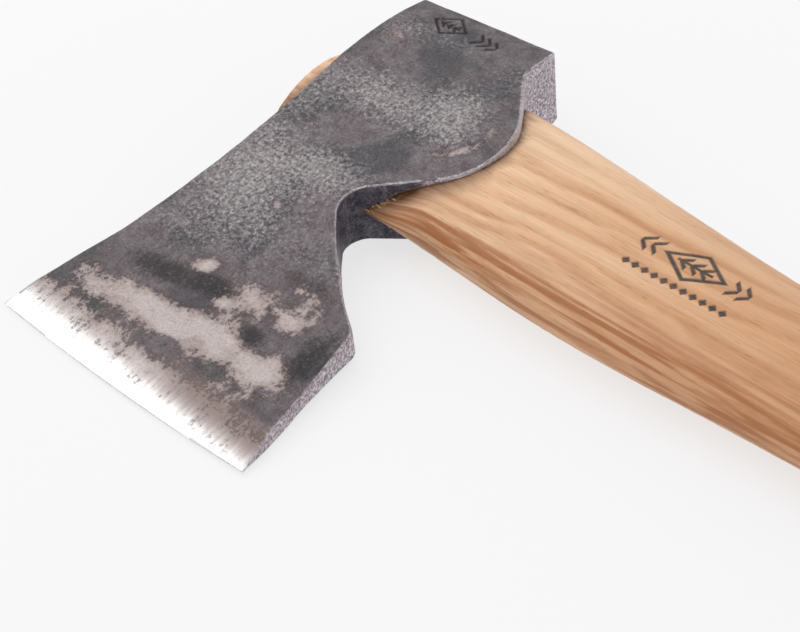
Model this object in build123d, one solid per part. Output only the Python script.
from build123d import *
import os

# A carpenter's hatchet in millimetres: a forged steel head, and a wooden handle whose tongue is
# wedged in the head's eye. It is drawn in a design frame first. There X runs along the handle
# from the toe of the cutting edge, Y from the cutting edge to the poll, and Z through the
# thickness, with the mid-plane at Z = 0. At the end it is laid down on its side, the way it comes
# to rest on a bench, with the origin on the bench under the middle of it.

# ---- head, seen from the side ----
edge_length = 90.0          # toe to heel
edge_crown = 1.6            # how far the middle of the edge stands out
head_depth = 152.5          # toe line to the middle of the poll face
eye_to_poll = 43.5          # middle of the eye's mouth to the poll face
poll_height = 44.6
poll_lean = 5.0             # the poll's lower corner stands this much further back than the upper
front_set_back = 6.8        # the poll's upper corner, behind the toe
neck_set_back = 7.6         # the hollow of the front line, behind the toe
neck_to_eye = 36.0          # that hollow to the middle of the eye's mouth
neck_bow_share = 0.55       # share of that set-back reached half way from the toe
brow_set_back = 6.2         # the swell of the front line between the eye and the poll
brow_to_poll = 22.0
underside_rake = 1.4        # the poll's lower side runs out this much towards the lugs
underside_depth = 14.0      # how far that side runs before the lugs start
underside_round = 7.0
lug_reach = 25.8            # poll's lower corner to the point where the lugs' two sides would meet
lug_to_eye = 1.5            # that point, behind the middle of the eye's mouth
lug_round = 22.0
notch_depth = 34.0          # that point, down to where the notch's two sides would meet
notch_to_eye = 29.7         # that meeting point, in front of the middle of the eye's mouth
notch_round = 8.0
beard_height = 47.0         # the beard's back corner above the cutting edge
beard_rake = 9.8            # that corner, forward of the heel
beard_hollow = 2.0          # how far the beard's inner side is hollowed
beard_round = 4.5

# ---- head, through the thickness ----
edge_thickness = 0.3
bevel_width = 13.0          # the ground bevel along the edge
bevel_thickness = 4.4
forged_thickness = 3.4      # at the edge, before grinding
bit_thickness = 6.8
bit_at = 40.0               # from the edge
neck_thickness = 15.4
neck_at = 39.0              # from the middle of the eye's mouth
brow_thickness = 19.8
brow_at = 19.0               # from the middle of the eye's mouth, on the neck's side
cheek_thickness = 26.0
cheek_at = 7.0              # from the middle of the eye's mouth, on the poll's side
poll_thickness = 22.0
arris_round = 0.8           # radius along the outline of both cheeks and at the poll's corners

# ---- eye ----
eye_mouth_length = 48.0     # where the handle goes in
eye_mouth_width = 21.0
eye_top_length = 37.0       # where the tongue comes out
eye_top_width = 19.6
eye_top_back = 2.5          # the top of the eye is this much nearer the poll than its mouth
eye_depth = 52.0            # top to mouth
oval_end_share = 0.72       # end radius of an oval section, as a share of half its width

# ---- handle ----
handle_length = 478.0       # toe line to butt
shoulder_thickness = 21.6
shoulder_rise = 6.0         # the back shoulder stands this far behind the eye's mouth
shoulder_inside = 12.0      # the shoulder starts this far inside the eye's mouth
shoulder_outside = 5.6      # and keeps its depth this far behind it
belly_depth = 44.5
belly_at = 170.0            # from the toe line, as the places below
waist_depth = 40.5
waist_at = 250.0
grip_depth = 35.5
grip_thickness = 22.5
grip_at = 330.0
grip_bow = 0.8              # the grip's middle line stands this much further from the edge
throat_depth = 33.5
throat_at = 415.0
throat_drop = 1.5           # the throat's middle line comes this much nearer the edge
knob_depth = 43.0
knob_thickness = 26.5
knob_length = 16.0          # the parallel end of the swell
knob_drop = 7.5             # and the knob's this much
butt_round = 4.0
tongue_proud = 4.8          # the tongue stands this far out of the eye
lanyard_bore = 8.0
lanyard_from_butt = 21.0
lanyard_ease = 1.2          # countersink round both mouths of the lanyard hole

# ---- wedges ----
kerf_depth = 42.0           # saw cut in the tongue, from its end
kerf_width = 1.6
wedge_length = 36.0         # how deep the wooden wedge goes
wedge_thickness = 4.2       # at the end of the tongue
spike_legs = 3
spike_leg = 6.5             # each leg of the steel wedge, from its middle
spike_thickness = 2.0
spike_tip = 0.5
spike_depth = 15.0

# ---- laying down ----
contact_tolerance = 0.05    # how finely the surfaces are sampled for the points they rest on
contact_angle = 0.05
contact_rounds = 6

# ---- places that follow from the sizes ----
eye_y = head_depth - eye_to_poll
poll_upper = (front_set_back, head_depth - poll_lean / 2)
poll_lower = (front_set_back + poll_height, head_depth + poll_lean / 2)
underside_corner = (poll_lower[0] + underside_rake, poll_lower[1] - underside_depth)
lug_corner = (poll_lower[0] + lug_reach, eye_y + lug_to_eye)
notch_corner = (lug_corner[0] - notch_depth, eye_y - notch_to_eye)
beard_corner = (edge_length - beard_rake, beard_height)
heel = (edge_length, 0)
eye_top_x = neck_set_back
eye_mouth_x = eye_top_x + eye_depth
eye_top_y = eye_y + eye_top_back
tongue_end = eye_top_x - tongue_proud
edge_radius = (edge_length ** 2 / 4 + edge_crown ** 2) / (2 * edge_crown)
edge_centre = (edge_length / 2, edge_radius - edge_crown)


def oval(x, y, depth, thickness):
    """An oval face across the X axis: two flank arcs joined by two tangent end arcs."""
    half_depth = depth / 2
    half = thickness / 2
    end = half * oval_end_share
    span = half_depth - end
    flank = (span ** 2 + half ** 2 - end ** 2) / (2 * (half - end))
    share = end / (flank - end)
    join = (span * (1 + share), (flank - half) * share)
    corners = [(join[0], join[1]), (-join[0], join[1]), (-join[0], -join[1]), (join[0], -join[1])]
    outline = [
        ThreePointArc(corners[0], (0, half), corners[1]),
        ThreePointArc(corners[1], (-half_depth, 0), corners[2]),
        ThreePointArc(corners[2], (0, -half), corners[3]),
        ThreePointArc(corners[3], (half_depth, 0), corners[0]),
    ]
    across = Plane(origin=(x, y, 0), x_dir=(0, 1, 0), z_dir=(1, 0, 0))
    return across * make_face(outline)


def side_prism():
    """The head's outline from the side, thicker than the head."""
    hollow = Line(notch_corner, beard_corner)
    inward = (hollow % 0.5).rotate(Axis.Z, -90) * beard_hollow
    outline = [
        Spline((0, 0), (neck_set_back * neck_bow_share, (eye_y - neck_to_eye) / 2),
               (neck_set_back, eye_y - neck_to_eye),
               (brow_set_back, head_depth - brow_to_poll), poll_upper),
        Line(poll_upper, poll_lower),
        Line(poll_lower, underside_corner),
        Line(underside_corner, lug_corner),
        Line(lug_corner, notch_corner),
        ThreePointArc(notch_corner, (hollow @ 0.5) + inward, beard_corner),
        Line(beard_corner, heel),
        ThreePointArc(heel, (edge_length / 2, -edge_crown), (0, 0)),
    ]
    face = make_face(outline)
    rounds = [(underside_corner, underside_round), (lug_corner, lug_round),
              (notch_corner, notch_round), (beard_corner, beard_round)]
    for corner, radius in rounds:
        at_corner = face.vertices().sort_by_distance((corner[0], corner[1], 0))[0]
        face = fillet(at_corner, radius)
    return extrude(face, amount=cheek_thickness, both=True)


def ring_about_edge_centre(outline):
    """A ring with the given (y, z) outline, turned about the centre of the crowned edge's arc."""
    across = Plane(origin=(edge_centre[0], 0, 0), x_dir=(0, 1, 0), z_dir=(1, 0, 0))
    profile = across * make_face(outline)
    pivot = Axis((edge_centre[0], edge_centre[1], 0), (0, 0, 1))
    sweep = 30  # degrees, well past both ends of the blade
    return revolve(profile.rotate(pivot, -sweep / 2), axis=pivot, revolution_arc=sweep)


def forging_ring():
    """The forging's thickness before grinding, which depends only on the distance from the edge."""
    stations = [
        (-2 * edge_crown, forged_thickness / 2),
        (bevel_width - edge_crown, bevel_thickness / 2),
        (bit_at, bit_thickness / 2),
        (eye_y - neck_at, neck_thickness / 2),
        (eye_y - brow_at, brow_thickness / 2),
        (eye_y + cheek_at, cheek_thickness / 2),
        (head_depth + poll_lean, poll_thickness / 2),
    ]
    mirrored = [(y, -z) for y, z in stations]
    return ring_about_edge_centre([
        Line(mirrored[0], stations[0]),
        Spline(*stations),
        Line(stations[-1], mirrored[-1]),
        Spline(*mirrored),
    ])


def bevel_ring():
    """What the grinding of the edge leaves: two flat bevels that open up past the whole head."""
    slope = (bevel_thickness - edge_thickness) / 2 / bevel_width
    reach = 2 * head_depth
    near = edge_thickness / 2
    far = near + slope * reach
    corners = [(-edge_crown, near), (reach, far), (reach, -far), (-edge_crown, -near)]
    return ring_about_edge_centre(Polyline(*corners, close=True))


def eye_section(x):
    """The eye's oval at one depth; its sides taper straight from mouth to top."""
    share = (x - eye_top_x) / eye_depth
    length = eye_top_length + share * (eye_mouth_length - eye_top_length)
    width = eye_top_width + share * (eye_mouth_width - eye_top_width)
    return oval(x, eye_top_y - share * eye_top_back, length, width)


def eye_space():
    """The space of the eye, run past both its ends."""
    run_out = eye_depth / 2
    return loft([eye_section(eye_top_x - run_out), eye_section(eye_mouth_x + run_out)], ruled=True)


def make_head(prism, eye):
    """The forged head: outline and thickness together, arrises rounded, bevels ground, eye cut."""
    forging = prism & forging_ring()
    cheeks = forging.faces().sort_by(lambda face: face.area)[-2:]
    poll_face = forging.faces().sort_by(Axis.Y)[-1]
    upright = poll_face.edges().filter_by(Axis.Z)
    rounded = fillet(cheeks[0].edges() + cheeks[1].edges() + upright, arris_round)
    return (rounded & bevel_ring()) - eye


def tapered_plate(y, reach, thickness, tip, depth):
    """A plate that tapers from the tongue's end inwards, run out past that end, reaching along Y."""
    slope = (thickness - tip) / 2 / depth
    open_x = tongue_end - depth / 2
    open_half = thickness / 2 + slope * depth / 2
    tip_x = tongue_end + depth
    points = [(open_x, -open_half), (tip_x, -tip / 2), (tip_x, tip / 2), (open_x, open_half)]
    side = Plane(origin=(0, y, 0), x_dir=(1, 0, 0), z_dir=(0, -1, 0))
    return extrude(side * make_face(Polyline(*points, close=True)), amount=-reach)


def wedge_space():
    """The wooden wedge before the tongue's outline bounds it."""
    across = 2 * eye_mouth_length
    return tapered_plate(eye_y - across / 2, across, wedge_thickness, kerf_width, wedge_length)


def saw_slot():
    """The rest of the saw cut, deeper than the wedge goes."""
    run = kerf_depth - wedge_length
    middle_x = tongue_end + wedge_length + run / 2
    return Pos(middle_x, eye_y, 0) * Box(run, 2 * eye_mouth_length, kerf_width)


def spike_space():
    """Tapered legs about the middle of the tongue's end, run out past it."""
    leg = tapered_plate(eye_top_y, spike_leg, spike_thickness, spike_tip, spike_depth)
    middle = Axis((0, eye_top_y, 0), (1, 0, 0))
    legs = [leg.rotate(middle, turn * 360 / spike_legs) for turn in range(spike_legs)]
    return legs[0] + legs[1:]


def make_tongue(prism, eye):
    """The end of the handle that fills the eye and stands a little out of it."""
    return eye & (Pos(-tongue_proud, 0, 0) * prism)


def lanyard_drill(middle_y):
    """The lanyard hole, with a countersink at each side of the knob that eases its mouth."""
    half = knob_thickness / 2
    cone = Cone(lanyard_bore / 2 + lanyard_ease, lanyard_bore / 2, lanyard_ease)
    top = Pos(0, 0, half - lanyard_ease / 2) * Rot(180, 0, 0) * cone
    bottom = Pos(0, 0, lanyard_ease / 2 - half) * cone
    drill = Cylinder(lanyard_bore / 2, 2 * knob_thickness) + top + bottom
    return Pos(handle_length - lanyard_from_butt, middle_y, 0) * drill


def make_handle_blank():
    """The handle outside the eye: shoulder, belly, grip, throat and knob."""
    front_y = eye_y - eye_mouth_length / 2
    shoulder_depth = eye_mouth_length + shoulder_rise
    shoulder_y = front_y + shoulder_depth / 2
    belly_y = front_y + belly_depth / 2
    knob_y = belly_y - knob_drop
    knob_x = handle_length - knob_length
    sections = [
        oval(eye_mouth_x - shoulder_inside, shoulder_y, shoulder_depth, shoulder_thickness),
        oval(eye_mouth_x + shoulder_outside, shoulder_y, shoulder_depth, shoulder_thickness),
        oval(belly_at, belly_y, belly_depth, shoulder_thickness),
        oval(waist_at, belly_y, waist_depth, grip_thickness),
        oval(grip_at, belly_y + grip_bow, grip_depth, grip_thickness),
        oval(throat_at, belly_y - throat_drop, throat_depth, grip_thickness),
        oval(knob_x, knob_y, knob_depth, knob_thickness),
        oval(handle_length, knob_y, knob_depth, knob_thickness),
    ]
    blank = loft(sections)
    butt = blank.faces().sort_by(Axis.X)[-1]
    blank = fillet(butt.edges(), butt_round)
    return blank - lanyard_drill(knob_y)


def plane_through(points):
    """The plane under three contact points, facing up, with its X along the handle."""
    first, second, third = points
    normal = (second - first).cross(third - first).normalized()
    if normal.Z < 0:
        normal = -normal
    along = (Vector(1, 0, 0) - normal * normal.X).normalized()
    return Plane(origin=first, x_dir=along, z_dir=normal)


def resting_plane(groups):
    """The bench under the hatchet: it touches the lowest point of each of three groups."""
    contacts = [min(group, key=lambda point: point.Z) for group in groups]
    bench = plane_through(contacts)
    for _ in range(contact_rounds):
        contacts = [min(group, key=lambda point: bench.to_local_coords(point).Z) for group in groups]
        bench = plane_through(contacts)
    return bench


def lay_down(shapes, head, handle):
    """The shapes on a bench at Z = 0, resting on cheek, cutting edge and knob, middle at the origin."""
    head_points = head.tessellate(contact_tolerance, contact_angle)[0]
    handle_points = handle.tessellate(contact_tolerance, contact_angle)[0]
    cheek = [point for point in head_points if point.Y > eye_y - eye_mouth_length / 2]
    edge = [point for point in head_points if point.Y < edge_thickness]
    knob = [point for point in handle_points if point.X > throat_at]
    bench = resting_plane([cheek, edge, knob])
    laid = [bench.to_local_coords(shape) for shape in shapes]
    box = Compound(laid).bounding_box()
    return [Pos(-box.center().X, -box.center().Y, -box.min.Z) * shape for shape in laid]


prism = side_prism()
eye = eye_space()
head = make_head(prism, eye)
tongue = make_tongue(prism, eye)
spike = spike_space() & tongue
wooden_wedge = (wedge_space() & tongue) - spike - head
handle = (tongue + make_handle_blank()) - head - wedge_space() - saw_slot() - spike

names = ["head", "handle", "wooden_wedge", "steel_wedge"]
shapes = lay_down([head, handle, wooden_wedge, spike], head, handle)

os.makedirs("parts", exist_ok=True)
for name, shape in zip(names, shapes):
    export_step(shape, f"parts/{name}.step")
